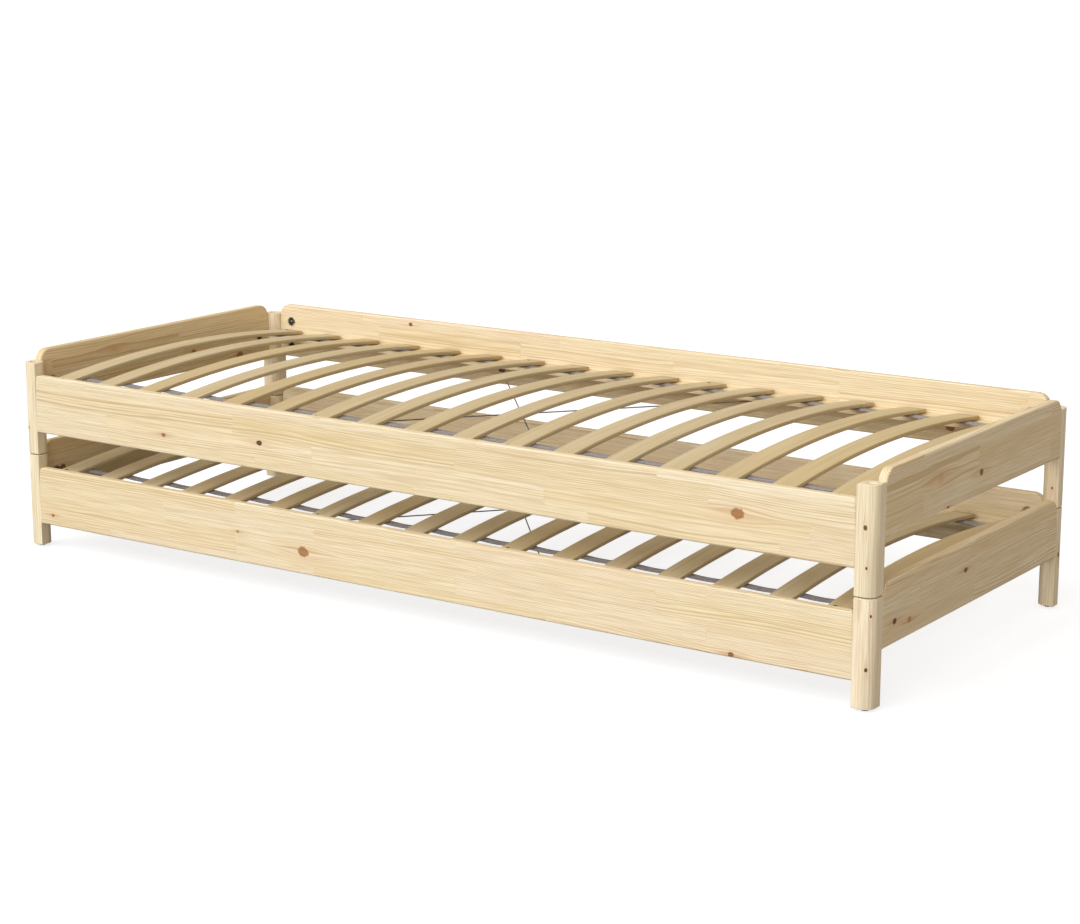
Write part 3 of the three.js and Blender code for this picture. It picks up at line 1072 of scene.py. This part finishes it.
class BEDS_OT_legs(bpy.types.Operator):
    """Shape the eight legs"""

    bl_idname = "beds.legs"
    bl_label = "Legs"

    def execute(self, context):
        sizes = context.scene.bed_sizes
        low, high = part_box("lower_leg_back_right")
        middle = ((low.x + high.x) / 2, (low.y + high.y) / 2)
        wood = pine("pine_legs", "Z", middle, 3.0, LEG_KNOTS, -0.3, 0.5)
        for bed in BEDS:
            for end, end_sign in ENDS.items():
                for side, side_sign in SIDES.items():
                    node = f"{bed}_leg_{side}_{end}"
                    bm = leg_solid(node, end_sign * side_sign, sizes)
                    finish_piece(f"{node}_post", bm, bed, wood, [node])
        return {"FINISHED"}


class BEDS_OT_glides(bpy.types.Operator):
    """Press a glide into the foot of each leg"""

    bl_idname = "beds.glides"
    bl_label = "Glides"

    def execute(self, context):
        plastic = moulded("moulded_glide")
        for bed in BEDS:
            for end in ENDS:
                for side in SIDES:
                    node = f"{bed}_glide_{side}_{end}"
                    finish_piece(
                        f"{node}_disc", glide_solid(node), bed, plastic, [node]
                    )
        return {"FINISHED"}


class BEDS_OT_rails(bpy.types.Operator):
    """Shape the long rails, their ledges and the cross nuts in them"""

    bl_idname = "beds.rails"
    bl_label = "Rails"

    def execute(self, context):
        sizes = context.scene.bed_sizes
        thickness = sizes.board_thickness
        edge_of_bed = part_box("lower_leg_back_right")[1].y
        middle = edge_of_bed - thickness / 2
        woods = {
            "front": pine("pine_front_rails", "X", -middle, 1.0, FRONT_RAIL_KNOTS),
            "back": pine("pine_back_rails", "X", middle, 5.0, BACK_RAIL_KNOTS),
        }
        ledge_wood = pine("pine_ledges", "X", 0.0, 8.0)
        # The cross nuts' dark zinc carries painted shade in their pockets.
        zinc = plated("zinc_cross_nuts", context.scene.bed_colours.zinc)
        for bed in BEDS:
            floor = floor_of(bed)
            nuts = bmesh.new()
            for side, sign in SIDES.items():
                node = f"{bed}_{side}_rail"
                low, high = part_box(node)
                inward = Y_AXIS * -sign
                if sign < 0:
                    board = low, Vector((high.x, low.y + thickness, high.z))
                    rounding, heights = sizes.front_rail_rounding, FRONT_RAIL_POCKETS
                else:
                    board = Vector((low.x, high.y - thickness, low.z)), high
                    rounding, heights = sizes.back_rail_rounding, BACK_RAIL_POCKETS
                heights = [floor + height for height in heights]
                bm, pockets, along = board_solid(*board, inward, rounding, heights, sizes)
                finish_piece(f"{node}_board", bm, bed, woods[side], [node])
                for pocket in pockets:
                    cross_nut(nuts, pocket, along, inward, math.copysign(1, pocket.x))
                self.add_ledge(bed, side, low, high, floor, ledge_wood, sizes)
            finish_piece(f"{bed}_rail_cross_nuts", nuts, bed, zinc)
        return {"FINISHED"}

    def add_ledge(self, bed, side, low, high, floor, wood, sizes):
        """The strip along a rail's inner face that carries the slat ends."""
        ledge_low = Vector((low.x + sizes.ledge_setback, low.y, 0))
        ledge_high = Vector((high.x - sizes.ledge_setback, high.y, floor + sizes.ledge_top))
        ledge_low.z = ledge_high.z - sizes.ledge_height
        if side == "front":
            ledge_low.y = low.y + sizes.board_thickness + LEDGE_TO_RAIL
        else:
            ledge_high.y = high.y - sizes.board_thickness - LEDGE_TO_RAIL
        bm = box_between(ledge_low, ledge_high)
        round_over(bm, bm.edges[:], LEDGE_EASING, 3)
        finish_piece(f"{bed}_{side}_ledge", bm, bed, wood)


class BEDS_OT_end_boards(bpy.types.Operator):
    """Shape the end boards and the cross nuts in them"""

    bl_idname = "beds.end_boards"
    bl_label = "End Boards"

    def execute(self, context):
        sizes = context.scene.bed_sizes
        knots = {"left": LEFT_END_KNOTS, "right": RIGHT_END_KNOTS}
        # Only the shaded inner faces of the left end boards are seen, so their larger share of
        # heart colour is painted warm shade.
        heartwood_and_shade_warmth = {"left": 0.45, "right": 0.12}
        # The cross nuts' dark zinc carries painted shade in their pockets.
        zinc = plated("zinc_end_nuts", context.scene.bed_colours.zinc)
        for end, sign in ENDS.items():
            low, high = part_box(f"lower_end_board_{end}")
            middle, seed = (low.x + high.x) / 2, 11.0 + 2 * sign
            wood = pine(f"pine_{end}_end", "Y", middle, seed, knots[end], heartwood_and_shade_warmth[end], 1.0)
            for bed in BEDS:
                node = f"{bed}_end_board_{end}"
                low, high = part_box(node)
                heights = [floor_of(bed) + height for height in END_BOARD_POCKETS]
                inward = X_AXIS * -sign
                bm, pockets, along = board_solid(
                    low, high, inward, sizes.end_board_rounding, heights, sizes
                )
                finish_piece(f"{node}_panel", bm, bed, wood, [node])
                nuts = bmesh.new()
                for pocket in pockets:
                    cross_nut(nuts, pocket, along, inward, math.copysign(1, pocket.y))
                finish_piece(f"{node}_cross_nuts", nuts, bed, zinc)
        return {"FINISHED"}


class BEDS_OT_slats(bpy.types.Operator):
    """Bend the slats and put in the screws that hold four of them"""

    bl_idname = "beds.slats"
    bl_label = "Slats"

    def execute(self, context):
        sizes = context.scene.bed_sizes
        wood = birch("birch_slats")
        dark_zinc = plated("zinc_slat_screws", context.scene.bed_colours.screw)
        for bed in BEDS:
            screws = bmesh.new()
            for number in SLAT_NUMBERS:
                node = f"{bed}_slat_{number:02d}"
                finish_piece(f"{node}_strip", slat_solid(node, sizes), bed, wood, [node])
                if number not in SCREWED_SLATS:
                    continue
                low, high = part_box(node)
                x = (low.x + high.x) / 2 - sizes.screw_offset
                for sign in (-1, 1):
                    place = place_on_arc(node, x, sign * sizes.screw_reach, sizes)
                    screw_head(screws, place, sizes.screw_radius)
            finish_piece(f"{bed}_slat_screws", screws, bed, dark_zinc)
        return {"FINISHED"}


class BEDS_OT_webbing(bpy.types.Operator):
    """Run the two tapes under the slats"""

    bl_idname = "beds.webbing"
    bl_label = "Webbing"

    def execute(self, context):
        sizes = context.scene.bed_sizes
        cloth = woven_tape("woven_tape")
        for bed in BEDS:
            for side, sign in SIDES.items():
                bm = tape_solid(bed, sign, sizes)
                finish_piece(f"{bed}_{side}_tape", bm, bed, cloth)
        return {"FINISHED"}


class BEDS_OT_braces(bpy.types.Operator):
    """String the crossing wires with their clip and end plates"""

    bl_idname = "beds.braces"
    bl_label = "Wire Braces"

    def execute(self, context):
        sizes = context.scene.bed_sizes
        steel = drawn_steel("drawn_steel")
        # The plates share the dark zinc colour that carries painted shade in the nut pockets.
        zinc = plated("zinc_brace_plates", context.scene.bed_colours.zinc)
        plastic = moulded("moulded_clip")
        for bed in BEDS:
            node = f"{bed}_wire_brace"
            low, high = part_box(node)
            wires = wire_solid(bed, False, sizes)
            join_parts(wires, wire_solid(bed, True, sizes))
            finish_piece(f"{node}_wires", wires, bed, steel, [node])
            clip = self.clip(crossing_height(node, sizes), sizes)
            finish_piece(f"{node}_clip", clip, bed, plastic)
            plates = bmesh.new()
            plate_middle = low.z + sizes.plate_height / 2
            for x_sign in (-1, 1):
                for y_sign in (-1, 1):
                    place = Vector((x_sign * sizes.wire_spread, y_sign * high.y, plate_middle))
                    self.add_plate(plates, place, -y_sign, sizes)
            finish_piece(f"{node}_plates", plates, bed, zinc)
        return {"FINISHED"}

    def clip(self, height, sizes):
        """The moulded disc that holds two wires together where they cross."""
        bm = cylinder(Matrix.Translation((0, 0, height)), CLIP_RADIUS, sizes.clip_height, 24)
        rims = [edge for edge in bm.edges
                if any(abs(face.normal.z) > 0.9 for face in edge.link_faces)]
        smooth_round(bm, Z_AXIS)
        round_over(bm, rims, CLIP_EASING, 3)
        return bm

    def add_plate(self, plates, place, inward, sizes):
        """A rounded plate against the rail with a screw through it."""
        half = Vector((PLATE_LENGTH, PLATE_THICKNESS, sizes.plate_height)) / 2
        centre = place + Y_AXIS * inward * PLATE_THICKNESS / 2
        plate = box_between(centre - half, centre + half)
        corners = [edge for edge in plate.edges if abs(span_of(edge).normalized().y) > 0.9]
        round_over(plate, corners, PLATE_ROUNDING, 4)
        join_parts(plates, plate)
        lie = Matrix.Rotation(math.copysign(math.pi / 2, -inward), 4, "X")
        spot = place + Y_AXIS * inward * PLATE_THICKNESS + Z_AXIS * -PLATE_SCREW_DROP
        screw_head(plates, Matrix.Translation(spot) @ lie, PLATE_SCREW_RADIUS)


class BEDS_OT_studio(bpy.types.Operator):
    """Lay a pale floor and light it softly"""

    bl_idname = "beds.studio"
    bl_label = "Studio"

    def execute(self, context):
        scene = context.scene
        studio = scene.bed_studio
        scene.view_settings.view_transform = "Standard"
        bm = bmesh.new()
        bmesh.ops.create_grid(bm, x_segments=8, y_segments=8, size=FLOOR_HALF_WIDTH)
        bmesh.ops.translate(bm, vec=(0, 0, CAD_BOX[0][2] - FLOOR_DROP), verts=bm.verts)
        material, tree, shader = new_finish("studio_floor")
        seen = tree.nodes.new("ShaderNodeLightPath").outputs["Is Camera Ray"]
        speckle = noise(tree, object_place(tree), 3.0, 3.0)
        darker = [part * 0.94 for part in scene.bed_colours.floor]
        share = between(tree, speckle, 0.3, 0.7)
        pale = blended(tree, share, scene.bed_colours.floor, darker)
        tree.links.new(pale, shader.inputs["Base Color"])
        shader.inputs["Emission Color"].default_value = (1, 1, 1, 1)
        glow = times(tree, seen, studio.floor_glow)
        tree.links.new(glow, shader.inputs["Emission Strength"])
        shader.inputs["Roughness"].default_value = 0.9
        shader.inputs["Specular IOR Level"].default_value = 0.0
        floor = object_from("studio_floor", bm, material)

        self.add_sun("soft_key", studio.key, TOWARDS_KEY)
        self.add_sun("soft_side", studio.side_light, TOWARDS_SIDE_LIGHT)

        world = bpy.data.worlds.new("studio_light")
        world.use_nodes = True
        scene.world = world
        tree = world.node_tree
        background = tree.nodes["Background"]
        seen = tree.nodes.new("ShaderNodeLightPath").outputs["Is Camera Ray"]
        glow = blended(tree, seen, scene.bed_colours.fill, (1, 1, 1))
        feed(tree, background.inputs["Color"], glow)
        feed(tree, background.inputs["Strength"], between(tree, seen, 0, 1, studio.fill, 1.0))
        return {"FINISHED"}

    def add_sun(self, name, strength, towards_light):
        """A large soft light from far away."""
        data = bpy.data.lights.new(name, "SUN")
        data.energy = strength
        data.angle = bpy.context.scene.bed_studio.light_size
        data.color = LIGHT_TINT
        sun = bpy.data.objects.new(name, data)
        sun.rotation_euler = towards_light.to_track_quat("Z", "Y").to_euler()
        bpy.context.scene.collection.objects.link(sun)


class BEDS_PT_panel(bpy.types.Panel):
    """Buttons for every piece, in the order they are made"""

    bl_idname = "BEDS_PT_panel"
    bl_label = "Stacking Pine Beds"
    bl_space_type = "VIEW_3D"
    bl_region_type = "UI"
    bl_category = "Beds"

    def draw(self, context):
        for operator in OPERATORS:
            self.layout.operator(operator.bl_idname)
        for group in (context.scene.bed_sizes, context.scene.bed_colours, context.scene.bed_studio):
            box = self.layout.box()
            for name in group.__annotations__:
                box.prop(group, name)


OPERATORS = (
    BEDS_OT_camera,
    BEDS_OT_legs,
    BEDS_OT_glides,
    BEDS_OT_rails,
    BEDS_OT_end_boards,
    BEDS_OT_slats,
    BEDS_OT_webbing,
    BEDS_OT_braces,
    BEDS_OT_studio,
)
CLASSES = (BedSizes, BedColours, BedStudio, *OPERATORS, BEDS_PT_panel)


def register():
    for item in CLASSES:
        bpy.utils.register_class(item)
    bpy.types.Scene.bed_sizes = PointerProperty(type=BedSizes)
    bpy.types.Scene.bed_colours = PointerProperty(type=BedColours)
    bpy.types.Scene.bed_studio = PointerProperty(type=BedStudio)


def unregister():
    del bpy.types.Scene.bed_studio
    del bpy.types.Scene.bed_colours
    del bpy.types.Scene.bed_sizes
    for item in reversed(CLASSES):
        bpy.utils.unregister_class(item)


def main():
    register()
    bpy.ops.beds.camera()
    bpy.ops.beds.legs()
    bpy.ops.beds.glides()
    bpy.ops.beds.rails()
    bpy.ops.beds.end_boards()
    bpy.ops.beds.slats()
    bpy.ops.beds.webbing()
    bpy.ops.beds.braces()
    bpy.ops.beds.studio()


if __name__ == "__main__":
    main()
